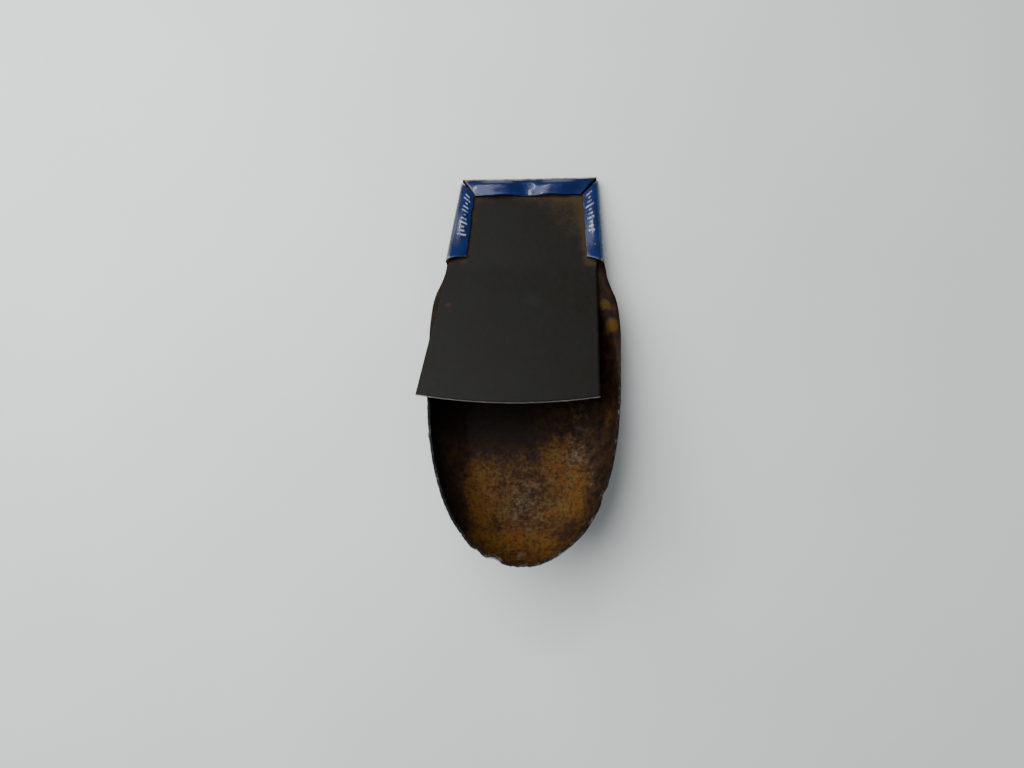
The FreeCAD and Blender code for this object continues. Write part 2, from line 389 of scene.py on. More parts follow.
@dataclass(frozen=True)
class BowlRust:
    """Bare tinplate gone to rust: near black, brown, orange and patches of grey tin, with painted
    shade laid over in black.
    """

    black: Colour = (0.0030, 0.0012, 0.0004)
    brown: Colour = (0.0230, 0.0085, 0.0014)
    orange: Colour = (0.070, 0.024, 0.0008)
    ochre: Colour = (0.056, 0.028, 0.0012)
    tin: Colour = (0.052, 0.050, 0.036)

    def material(self) -> bpy.types.Material:
        """Builds the finish.

        Returns:
            The material.
        """
        pad = NodePad("bowl_rust")
        broad = pad.noise(0.32, 5.0, 0.62, shift=3.0)
        middle = pad.noise(0.9, 6.0, 0.68, shift=14.0)
        fine = pad.noise(2.1, 6.0, 0.72, shift=30.0)
        grain = pad.noise(6.5, 3.0, 0.7, shift=42.0)
        colour = pad.mix(pad.step(middle, 0.34, 0.66), self.black, self.brown)
        spread = pad.plus(pad.zone("orange"), broad, 0.55)
        spread = pad.plus(spread, middle, 0.55)
        spread = pad.plus(spread, fine, 0.45)
        orange = pad.step(spread, 0.98, 1.42)
        warm = pad.mix(pad.step(middle, 0.40, 0.62), self.orange, self.ochre)
        warm = pad.mix(pad.step(fine, 0.58, 0.36, 0.0, 0.80), warm, self.brown)
        colour = pad.mix(orange, colour, warm)
        speck = pad.plus(fine, middle, 0.8)
        bare = pad.step(pad.maths("ADD", pad.zone("tin"), speck), 1.06, 1.50)
        bare = pad.maths("MULTIPLY", bare, pad.step(grain, 0.34, 0.62, 0.45, 1.0))
        colour = pad.mix(bare, colour, self.tin)
        pits = pad.step(pad.plus(fine, grain, 0.5), 0.70, 0.58)
        pits = pad.maths("MULTIPLY", pits, pad.step(pad.zone("pits"), 0.0, 1.0, 0.12, 0.85))
        colour = pad.mix(pits, colour, self.black)
        blotch = pad.plus(pad.zone("blotch"), middle, 0.5)
        colour = pad.mix(pad.step(blotch, 0.62, 0.86), colour, self.ochre)
        # The zone read here lays black over the colour: painted shade under the tongue and on the
        # flat neck, and on the left wall painted shade mixed with dark rust.
        colour = pad.mix(pad.zone("dark"), colour, self.black)
        dull = pad.step(grain, 0.3, 0.7, 0.62, 0.88)
        roughness = pad.maths("SUBTRACT", dull, pad.maths("MULTIPLY", bare, 0.28))
        height = pad.plus(grain, fine, 0.8)
        return pad.dress(colour, roughness, height, 0.05, Specular_IOR_Level=0.14)


@dataclass(frozen=True)
class BareEdge:
    """The sheared edge of a sheet: a thin bright line with dirt in it."""

    bright: Colour = (0.062, 0.062, 0.058)
    dirty: Colour = (0.0030, 0.0024, 0.0018)
    name: str = "bare_tin_edge"

    def material(self) -> bpy.types.Material:
        """Builds the finish.

        Returns:
            The material.
        """
        pad = NodePad(self.name)
        cloud = pad.noise(0.5, 5.0, 0.7, shift=6.0)
        fine = pad.noise(4.0, 4.0, 0.7, shift=2.0)
        clean = pad.step(pad.plus(cloud, fine, 0.5), 0.72, 0.98)
        colour = pad.mix(clean, self.dirty, self.bright)
        roughness = pad.step(fine, 0.3, 0.7, 0.45, 0.70)
        return pad.dress(colour, roughness, fine, 0.02, Specular_IOR_Level=0.08)


@dataclass(frozen=True)
class SpringSteel:
    """Dull dark spring steel, with a brown bloom near the clamp and a few rust spots."""

    grey: Colour = (0.0045, 0.0042, 0.0030)
    brown: Colour = (0.0044, 0.0034, 0.0018)
    rust: Colour = (0.032, 0.020, 0.0075)
    pale: Colour = (0.0135, 0.0135, 0.0125)

    def material(self) -> bpy.types.Material:
        """Builds the finish.

        Returns:
            The material.
        """
        pad = NodePad("spring_steel")
        cloud = pad.noise(0.14, 4.0, 0.6, shift=5.0)
        fine = pad.noise(4.5, 4.0, 0.75, shift=17.0)
        brushed = pad.noise(1.2, 4.0, 0.7, stretch=(1.8, 0.9, 1.0), shift=8.0)
        colour = pad.mix(pad.step(cloud, 0.35, 0.65), self.brown, self.grey)
        colour = pad.mix(pad.step(brushed, 0.45, 0.75, 0.0, 0.35), colour, self.pale)
        patchy = pad.maths("ADD", pad.noise(0.8, 5.0, 0.7, shift=25.0), fine)
        bloom = pad.plus(pad.zone("bloom"), patchy, 0.80)
        bloom = pad.step(bloom, 0.98, 1.62, 0.0, 0.9)
        colour = pad.mix(bloom, colour, self.rust)
        colour = pad.mix(pad.step(pad.zone("scuff"), 0.2, 1.0, 0.0, 0.6), colour, self.pale)
        roughness = pad.step(pad.plus(brushed, bloom, 0.4), 0.3, 0.9, 0.46, 0.72)
        height = pad.plus(fine, brushed, 0.6)
        return pad.dress(colour, roughness, height, 0.02, Specular_IOR_Level=0.12)


@dataclass(frozen=True)
class WornPrint:
    """Off-white print, rubbed thin so that the enamel shows through."""

    white: Colour = (0.21, 0.225, 0.215)
    enamel: Colour = (0.012, 0.035, 0.16)

    def material(self) -> bpy.types.Material:
        """Builds the finish.

        Returns:
            The material.
        """
        pad = NodePad("worn_print")
        rub = pad.noise(2.6, 5.0, 0.75, shift=11.0)
        colour = pad.mix(pad.step(rub, 0.58, 0.44), self.enamel, self.white)
        return pad.dress(colour, pad.step(rub, 0.3, 0.7, 0.24, 0.42), rub, 0.01)


class SheetMesh:
    """Gathers patches of one skin of a sheet, then gives the sheet its thickness."""

    def __init__(self, name: str, zones: Sequence[str]) -> None:
        """Starts an empty sheet.

        Args:
            name: the piece's name.
            zones: the names of the zones painted on it.
        """
        self.name = name
        self.points: list[Vector] = []
        self.faces: list[tuple[int, ...]] = []
        self.zones: dict[str, list[float]] = {zone: [] for zone in zones}

    def add_point(self, point: Vector, **zones: float) -> int:
        """Adds a point with its share in each zone.

        Args:
            point: its place on the sheet, in millimetres.
            zones: its shares; a zone left out has none.

        Returns:
            The point's number.
        """
        self.points.append(point)
        for zone, values in self.zones.items():
            values.append(zones.get(zone, 0.0))
        return len(self.points) - 1

    def add_grid(self, rows: list[list[int]], closed: bool = False) -> None:
        """Joins rows of points with four-sided faces.

        Args:
            rows: the points' numbers, row by row.
            closed: whether each row runs back to its start.
        """
        for low, high in zip(rows, rows[1:]):
            count = len(low)
            for i in range(count if closed else count - 1):
                j = (i + 1) % count
                self.faces.append((low[i], low[j], high[j], high[i]))

    def finish(self, thickness: float, place: SheetPlace,
               materials: Sequence[bpy.types.Material], centred: bool = False) -> bpy.types.Object:
        """Turns the skin into a sheet of metal in its place.

        Args:
            thickness: the sheet's, in millimetres.
            place: where the sheet lies.
            materials: for the skin, its back and its edge.
            centred: whether the skin is the middle of the thickness, not its outside.

        Returns:
            The finished object, at the origin.
        """
        mesh = bpy.data.meshes.new(self.name)
        mesh.from_pydata([tuple(p) for p in self.points], [], self.faces)
        for zone, values in self.zones.items():
            layer = mesh.attributes.new(zone, "FLOAT", "POINT")
            layer.data.foreach_set("value", values)
        sheet = bpy.data.objects.new(self.name + "_skin", mesh)
        bpy.context.scene.collection.objects.link(sheet)
        for material in materials:
            mesh.materials.append(material)
        solid = sheet.modifiers.new("thickness", "SOLIDIFY")
        solid.thickness = thickness
        solid.offset = 0.0 if centred else -1.0
        solid.use_even_offset = True
        solid.material_offset = Skin.RUST.value
        solid.material_offset_rim = Skin.CUT_EDGE.value
        evaluated = sheet.evaluated_get(bpy.context.evaluated_depsgraph_get())
        result = bpy.data.meshes.new_from_object(evaluated)
        bpy.data.objects.remove(sheet)
        place.put(result)
        result.name = self.name
        for polygon in result.polygons:
            polygon.use_smooth = polygon.material_index != Skin.CUT_EDGE.value
        piece = bpy.data.objects.new(self.name, result)
        bpy.context.scene.collection.objects.link(piece)
        return piece


@dataclass
class FoldedTab:
    """A tab folded up and over from one edge of the clamp, puffed by the fold.

    The end tab has two pillows, one either side of a dent. Lengths are in millimetres; the
    pillows' and the chip's places are shares of the way along the fold.
    """

    side: Side
    outer: tuple[Vector, Vector]
    inner: tuple[Vector, Vector]
    puff: float = 0.22
    roll: float = 0.51
    plate: float = 0.30
    pillows: tuple[float, float] = (0.24, 0.735)
    pillow_half: float = 0.150
    pillow_rise: float = 0.50
    dent: float = 0.14
    chip: float = 0.20
    steps: int = 64
    roll_steps: int = 12
    flat_steps: int = 18

    def height(self, along: float, across: float) -> float:
        """How high the tab's outside stands over the flat.

        Args:
            along: the share of the way along the fold.
            across: the share of the way from the fold to the free edge.

        Returns:
            The height, in millimetres.
        """
        flat = 2 * self.roll - self.plate
        crown = math.sin(math.pi * min(1.0, max(0.0, across)) ** 0.75)
        if self.side is Side.END:
            left, right = (math.exp(-(abs(along - spot) / self.pillow_half) ** 4.0)
                           for spot in self.pillows)
            crest = smooth(0.10, 0.52, across) * lerp(1.0, 0.55, smooth(0.52, 1.0, across))
            dent = self.dent * hump(along, 0.49, 0.09) * smooth(0.3, 0.7, across)
            return flat + 0.10 * crown + self.pillow_rise * (left + right) * crest - dent
        mouth = hump(along, 0.0, 0.09)
        ripple = 0.05 * math.sin(9.0 * along + 2.0) * crown
        return flat + self.puff * crown * (1.0 + 0.9 * mouth) + ripple

    def plan(self, along: float, across: float) -> Vector:
        """A point of the tab seen from above, from the fold's outside to its free edge."""
        start = self.outer[0].lerp(self.outer[1], along)
        return start.lerp(self.inner[0].lerp(self.inner[1], along), across)

    def surface(self, along: float, across: float) -> Vector:
        """A point on the outside of the tab's flat."""
        point = self.plan(along, across)
        return Vector((point.x, point.y, self.height(along, across)))

    def build(self, skin: SheetMesh) -> None:
        """Adds the tab's outside to the tin.

        Args:
            skin: the tin's skin.
        """
        rows = []
        for i in range(self.steps + 1):
            along = i / self.steps
            width = (self.plan(along, 1.0) - self.plan(along, 0.0)).length
            tuck = self.roll / width
            ragged = 0.05 * noise.noise(Vector((along * 9.0, 3.0, width)))
            row = []
            for k in range(self.roll_steps + 1):
                angle = -math.pi / 2 + math.pi * k / self.roll_steps
                point = self.plan(along, tuck * (1.0 - math.cos(angle)))
                top = self.height(along, tuck * (1.0 - math.cos(angle)))
                middle = (top - self.plate) / 2
                lift = middle + (top - middle) * math.sin(angle)
                wear = 0.44 * hump(math.sin(angle), 0.75, 0.35) + 0.12
                if self.side is Side.END:
                    wear += 0.42 * hump(math.sin(angle), 0.9, 0.3)
                wear += 0.8 * smooth(0.05, 0.0, along) + 0.22 * smooth(0.95, 1.0, along)
                row.append(skin.add_point(Vector((point.x, point.y, lift)), wear=wear))
            for k in range(1, self.flat_steps + 1):
                free = 1.0 + ragged * (k == self.flat_steps)
                across = lerp(tuck, free, k / self.flat_steps)
                wear = 0.30 * smooth(0.90, 1.0, across) + 0.38 * smooth(0.05, 0.0, along)
                wear += 0.22 * smooth(0.96, 1.0, along)
                if self.side is Side.RIGHT:
                    wear += 0.9 * hump(along, self.chip, 0.012) * hump(across, 0.5, 0.07)
                row.append(skin.add_point(self.surface(along, across), wear=wear))
            rows.append(row)
        if self.side is Side.RIGHT:
            rows.reverse()
        skin.add_grid(rows)


@dataclass(frozen=True)
class Spoke:
    """One line out from the middle of the bowl, and what it crosses.

    The way is of length 1, reach is how far the sheet's edge is and mouth how far the bowl's
    mouth is, bite is how much of the rim is eaten away, and loose is 1 where flat sheet lies
    between the two and 0 where the mouth is the edge.
    """

    way: Vector
    reach: float
    mouth: float
    bite: float
    loose: float


@dataclass
class TinBody:
    """The pressed tinplate: the bowl, the flat neck behind it and three folded tabs.

    Lengths are in millimetres on the sheet. The crease is the angle, in degrees, at which the
    rounded wall meets the flat bottom, and fullness is 2 for an oval and more for a fuller one.
    """

    place: SheetPlace
    tin: float = 0.30
    middle: float = -8.5
    wall_drop: float = 7.4
    crease: float = 52.0
    half_width: float = 12.0
    widest: float = -1.0
    near_end: float = -26.0
    fullness: float = 2.3
    bowl_end: float = 8.7
    plate_inset: float = 0.45
    spacing: float = 0.3
    rim_steps: int = 130
    flat_rows: int = 8
    wall_rows: int = 26
    bottom_rows: int = 22
    tabs: dict[Side, FoldedTab] = field(default_factory=dict)

    def __post_init__(self) -> None:
        """Works out the three tabs from the corners of the clamp."""
        corners = {
            Side.LEFT: (((-10.48, 12.38), (-8.97, 24.15)), ((-7.79, 12.95), (-7.12, 22.05))),
            Side.RIGHT: (((10.13, 12.38), (9.49, 24.95)), ((7.78, 13.35), (7.33, 22.60))),
            Side.END: (((-8.78, 24.74), (9.25, 25.54)), ((-6.92, 22.02), (7.05, 22.62))),
        }
        for side, (outer, inner) in corners.items():
            ends = [tuple(Vector((*p, 0.0)) for p in line) for line in (outer, inner)]
            self.tabs[side] = FoldedTab(side, *ends)

    def rim_bite(self, x: float, y: float) -> float:
        """How far the worn rim is eaten back, in millimetres.

        Args:
            x: the place across.
            y: the place along.

        Returns:
            The depth of the bite.
        """
        front = smooth(-14.0, -22.0, y)
        bite = 0.05 + 0.10 * abs(noise.noise(Vector((x * 0.8, y * 0.8, 4.0))))
        bite += (0.3 + 0.7 * front) * 0.20 * abs(noise.noise(Vector((x * 2.6, y * 2.6, 9.0))))
        bite += front * (0.55 * hump(x, -3.1, 0.75) + 0.22 * hump(x, -5.0, 0.4))
        bite += patched(RIM_NICKS, x, y)
        bite += 0.35 * front * smooth(1.0, 5.0, x) * smooth(9.0, 5.0, x)
        return bite

    def outline(self) -> list[Vector]:
        """The edge of the flat sheet, from the middle of its free end round by the right.

        Returns:
            Points one spacing apart, in order.
        """
        near: list[tuple[float, float]] = []
        power = 2 / self.fullness
        for i in range(self.rim_steps + 1):
            angle = math.pi / 2 * i / self.rim_steps
            x = self.half_width * math.sin(angle) ** power
            y = self.widest + (self.near_end - self.widest) * math.cos(angle) ** power
            near.append((x, y))
        shoulder = [(12.0, 0.4), (12.0, 1.6), (12.0, 2.8), (11.97, 3.8), (11.9, 5.0),
                    (11.8, 6.2), (11.65, 7.1), (11.42, 8.0), (11.02, 9.0), (10.66, 10.0),
                    (10.42, 10.9), (10.28, 11.9)]
        inset = self.plate_inset
        right = [(10.15, 12.5), (10.05 - inset, 13.1), (9.9 - inset, 16.5), (9.7 - inset, 20.5),
                 (9.49 - inset, 24.6), (9.0 - inset, 25.45 - inset)]
        far = [(x, lerp(24.74, 25.54, (x + 8.8) / 18.0) - inset) for x in (6, 3, 0, -3, -6)]
        left = [(-8.8 + inset, 24.7 - inset), (-8.97 + inset, 23.9), (-9.5 + inset, 20.1),
                (-10.0 + inset, 16.3), (-10.4 + inset, 13.1), (-10.4, 12.5)]
        other = [(-x, y) for x, y in reversed(near + shoulder)]
        corners = near + shoulder + right + far + left + other[:-1]
        points: list[Vector] = []
        for i, corner in enumerate(corners):
            start = Vector((*corner, 0.0))
            end = Vector((*corners[(i + 1) % len(corners)], 0.0))
            count = max(1, round((end - start).length / self.spacing))
            points += [start.lerp(end, k / count) for k in range(count)]
        return points

    def mouth_reach(self, direction: Vector, outline: float) -> float:
        """How far the bowl's mouth is from its middle, one way.

        Args:
            direction: the way, of length 1.
            outline: how far the sheet's edge is, that way.

        Returns:
            The distance, never past the sheet's edge.
        """
        if direction.y <= 0.0:
            return outline
        wide = self.half_width - 0.12
        tall = self.bowl_end - self.middle
        low, high = 0.0, outline
        # Halving finds where the way crosses the squared-off far end of the mouth.
        for _ in range(24):
            reach = (low + high) / 2
            x = abs(direction.x) * reach / wide
            y = max(0.0, direction.y * reach / tall)
            low, high = (reach, high) if x**4.0 + y**3.4 < 1.0 else (low, reach)
        return low

    def zones(self, x: float, y: float, depth: float) -> dict[str, float]:
        """The shares of a point of the bowl in each kind of rust, and in painted shade.

        Args:
            x: the place across.
            y: the place along.
            depth: how far below the rim, as a share of the bowl's depth.

        Returns:
            The shares by zone.
        """
        low = smooth(0.50, 0.97, depth)
        front = smooth(-8.0, -15.5, y)
        belt = LEFT_BELT.share(x, y) + RIGHT_BELT.share(x, y)
        belt += smooth(-20.5, -23.0, y) * smooth(9.0, 5.0, abs(x))
        orange = front * low * 0.50
        orange += 0.42 * min(1.0, belt) * smooth(0.35, 0.75, depth + 0.5 * front)
        orange -= THIN_MIDDLE.share(x, y)
        orange *= lerp(0.30, 1.0, max(smooth(-8.2, -6.3, x), smooth(-20.5, -22.5, y)))
        orange += RIGHT_BLOOM.share(x, y) * low
        tin = 0.13 * low * front + patched(BARE_TIN, x, y)
        blotch = patched(BLOTCHES, x, y)
        # The left wall near the rim is darkened: partly its dark rust, partly painted shade for a
        # wall that faces away from the window.
        wall = smooth(0.80, 0.30, depth) * smooth(-22.5, -17.5, y)
        dark = wall * lerp(0.0, 0.88, smooth(4.0, -6.0, x))
        # Painted shadow of the tongue, laid on the bowl's floor under its free end, on the left and
        # the middle.
        dark = max(dark, 0.85 * smooth(-13.0, -8.0, y) * smooth(4.5, -0.5, x))
        return {"orange": orange, "tin": tin, "blotch": blotch, "pits": low, "dark": dark}

    def build_bowl(self, skin: SheetMesh) -> None:
        """Adds the outside of the bowl and the flat neck to the skin.

        Args:
            skin: the tin's skin.
        """
        centre = Vector((0.0, self.middle, 0.0))
        columns = []
        for point in self.outline():
            reach = (point - centre).length
            way = (point - centre) / reach
            mouth = self.mouth_reach(way, reach)
            loose = smooth(0.05, 0.9, reach - mouth)
            bite = self.rim_bite(point.x, point.y) * (1.0 - loose) * smooth(11.5, 6.0, point.y)
            columns.append(Spoke(way, reach - bite, min(mouth, reach), bite, loose))
        rows = []
        for i in range(self.flat_rows + 1):
            rows.append([self.flat_point(skin, centre, column, i / self.flat_rows)
                         for column in columns])
        levels = [math.radians(self.crease) * (i / self.wall_rows) ** 0.9
                  for i in range(1, self.wall_rows + 1)]
        for angle in levels:
            size, drop = math.cos(angle), self.wall_drop * math.sin(angle)
            rows.append([self.wall_point(skin, centre, column, size, drop)
                         for column in columns])
        depth = self.wall_drop * math.sin(levels[-1])
        edge = math.cos(levels[-1])
        for i in range(1, self.bottom_rows):
            size = edge * (1.0 - i / self.bottom_rows)
            rows.append([self.wall_point(skin, centre, column, size, depth)
                         for column in columns])
        rows.reverse()
        skin.add_grid(rows, closed=True)
        tip = skin.add_point(centre - Vector((0.0, 0.0, depth)),
                             wear=0.3, **self.zones(0.0, self.middle, 1.0))
        ring = rows[0]
        for i, corner in enumerate(ring):
            skin.faces.append((ring[(i + 1) % len(ring)], corner, tip))

    def flat_point(self, skin: SheetMesh, centre: Vector, column: Spoke,
                   share: float) -> int:
        """Adds one point between the sheet's edge and the bowl's mouth.

        Args:
            skin: the tin's skin.
            centre: the middle of the bowl.
            column: the spoke that the point lies on.
            share: of the way in from the edge.

        Returns:
            The point's number.
        """
        way, loose = column.way, column.loose
        mouth = min(column.mouth, column.reach)
        point = centre + way * lerp(column.reach, mouth, share ** lerp(1.0, 0.7, loose))
        round_over = 0.35 * smooth(0.7, 1.0, share) * loose
        thin = (1.0 - loose) * 0.10 * share
        point.z = -self.tin * loose - round_over - thin
        zones = self.zones(point.x, point.y, 0.0)
        # The flat neck and shoulders beyond the mouth, under and beside the tongue, get a quarter
        # share of painted shade.
        zones["dark"] = zones["dark"] if loose < 0.5 else 0.25
        return skin.add_point(point, wear=0.10, **zones)

    def wall_point(self, skin: SheetMesh, centre: Vector, column: Spoke, size: float,
                   drop: float) -> int:
        """Adds one point of the bowl's wall or bottom.

        Args:
            skin: the tin's skin.
            centre: the middle of the bowl.
            column: the spoke that the point lies on.
            size: the level's outline as a share of the mouth's.
            drop: how far the level is below the rim, in millimetres.

        Returns:
            The point's number.
        """
        way, loose = column.way, column.loose
        mouth = column.mouth - column.bite * (1.0 - loose) * math.exp(-0.6 * drop)
        point = centre + way * mouth * size
        start = 0.10 + 0.55 * loose
        point.z = -start * math.exp(-drop) - drop
        uneven = 0.07 * noise.noise(Vector((point.x, point.y, 2.0)) * 0.35)
        point += way * uneven * smooth(0.3, 2.0, drop)
        bottom = self.wall_drop * math.sin(math.radians(self.crease))
        zones = self.zones(point.x, point.y, drop / bottom)
        wear = 0.26 * smooth(0.92, 1.0, drop / bottom) * smooth(0.45, 0.62, size)
        return skin.add_point(point, wear=0.13 + wear, **zones)

    def build(self) -> bpy.types.Object:
        """Makes the whole tin as one sheet of metal, dressed.

        Returns:
            The finished tin.
        """
        zones = ("wear", "orange", "tin", "blotch", "pits", "dark")
        skin = SheetMesh("enamelled_tin_shell", zones)
        self.build_bowl(skin)
        for tab in self.tabs.values():
            tab.build(skin)
        finishes = [BlueEnamel().material(), BowlRust().material(), BareEdge().material()]
        shell = skin.finish(self.tin, self.place, finishes)
        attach(shell, "shell")
        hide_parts("tin_body")
        return shell


@dataclass
class SteelTongue:
    """The fan of spring steel: clamped flat under the tabs, then standing up off the rim.

    Lengths are in millimetres on the sheet, and the rise is in degrees. The rows of the mesh
    are shared out by bend_share: so much of them lies before the bend.
    """

    place: SheetPlace
    steel: float = 0.32
    bend: float = 11.9
    height: float = 0.19
    rise: float = 4.5
    bend_half: float = 1.0
    root_far: float = 23.6
    root_half: tuple[float, float] = (-8.45, 9.03)
    bend_edges: tuple[float, float] = (-10.1, 9.12)
    tip: tuple[tuple[float, float], tuple[float, float]] = ((-13.0, -6.25), (9.14, -6.0))
    tip_belly: float = 0.92
    bend_share: float = 0.4
    lengths: int = 110
    widths: int = 72

    def edges(self, share: float) -> tuple[Vector, Vector]:
        """The two edges of the steel, drawn flat.

        Args:
            share: of the way from the clamped end, at 0, over the bend to the tip, at 1.

        Returns:
            The left and the right edge.
        """
        found = []
        for i in (0, 1):
            root = Vector((self.root_half[i], self.root_far, 0.0))
            bend = Vector((self.bend_edges[i], self.bend, 0.0))
            tip = Vector((*self.tip[i], 0.0))
            if share < self.bend_share:
                found.append(root.lerp(bend, share / self.bend_share))
            else:
                past = (share - self.bend_share) / (1.0 - self.bend_share)
                found.append(bend.lerp(tip, past))
        return found[0], found[1]

    def lift(self, point: Vector) -> Vector:
        """Bends a flat point up round the line where the tongue leaves the clamp.

        Args:
            point: on the flat steel.

        Returns:
            The point in its place on the sheet.
        """
        full = math.radians(self.rise)
        past = self.bend + self.bend_half - point.y
        if past <= 0.0:
            return Vector((point.x, point.y, self.height))
        length = 2 * self.bend_half
        angle = full * min(1.0, past / length)
        radius = length / full
        y = self.bend + self.bend_half - radius * math.sin(angle)
        z = self.height + radius * (1.0 - math.cos(angle))
        rest = max(0.0, past - length)
        return Vector((point.x, y - rest * math.cos(full), z + rest * math.sin(full)))

    def bloom(self, x: float, y: float) -> tuple[float, float]:
        """How much brown bloom and pale scuff a place has.

        Args:
            x: the place across.
            y: the place along.

        Returns:
            The bloom and the scuff.
        """
        clamp = smooth(9.9, 13.9, y)
        # How far the place is from the free edges of the side tabs, and from the end tab's.
        share = (y - 12.4) / 9.8
        gap = max(0.0, min(x - lerp(-7.79, -7.12, share), lerp(7.78, 7.33, share) - x))
        gap = math.hypot(gap, max(0.0, 12.5 - y))
        top = max(0.0, 22.3 - y)
        bloom = (0.62 * math.exp(-gap / 0.30) + 0.26 * math.exp(-gap / 1.3)) * clamp
        bloom += 0.40 * math.exp(-top / 0.35) + 0.34 * math.exp(-top / 1.4)
        bloom += 0.30 * smooth(-1.0, 5.0, x) * smooth(12.5, 19.0, y)
        corner = max(smooth(-7.0, -8.5, x), smooth(7.0, 8.3, x))
        bloom += 0.22 * clamp * smooth(13.9, 12.4, y) * corner
        bloom += patched(TONGUE_SPOTS, x, y)
        return bloom, TONGUE_SCUFF.share(x, y)

    def build(self) -> bpy.types.Object:
        """Makes the tongue as one sheet that bends across the joint.

        Returns:
            The finished tongue.
        """
        skin = SheetMesh("spring_steel_tongue", ("bloom", "scuff"))
        rows = []
        for i in range(self.lengths + 1):
            share = i / self.lengths
            left, right = self.edges(share)
            belly = self.tip_belly * smooth(self.bend_share, 1.0, share) ** 2
            row = []
            for k in range(self.widths + 1):
                across = k / self.widths
                flat = left.lerp(right, across)
                nick = 0.03 * noise.noise(Vector((across * 30.0, share * 40.0, 1.0)))
                flat.y -= belly * 4 * across * (1 - across) - nick * (i == self.lengths)
                bloom, scuff = self.bloom(flat.x, flat.y)
                row.append(skin.add_point(self.lift(flat), bloom=bloom, scuff=scuff))
            rows.append(row)
        skin.add_grid(rows)
        steel = SpringSteel().material()
        edge = BareEdge(bright=(0.60, 0.60, 0.57), dirty=(0.26, 0.25, 0.23),
                        name="cut_steel_edge").material()
        tongue = skin.finish(self.steel, self.place, [steel, steel, edge], centred=True)
        start = self.place.point(0.0, self.bend + self.bend_half, self.height)
        end = self.place.point(0.0, self.bend - self.bend_half, self.height)
        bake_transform(tongue)
        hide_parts("tongue_root", "tongue_blade")
        return tongue


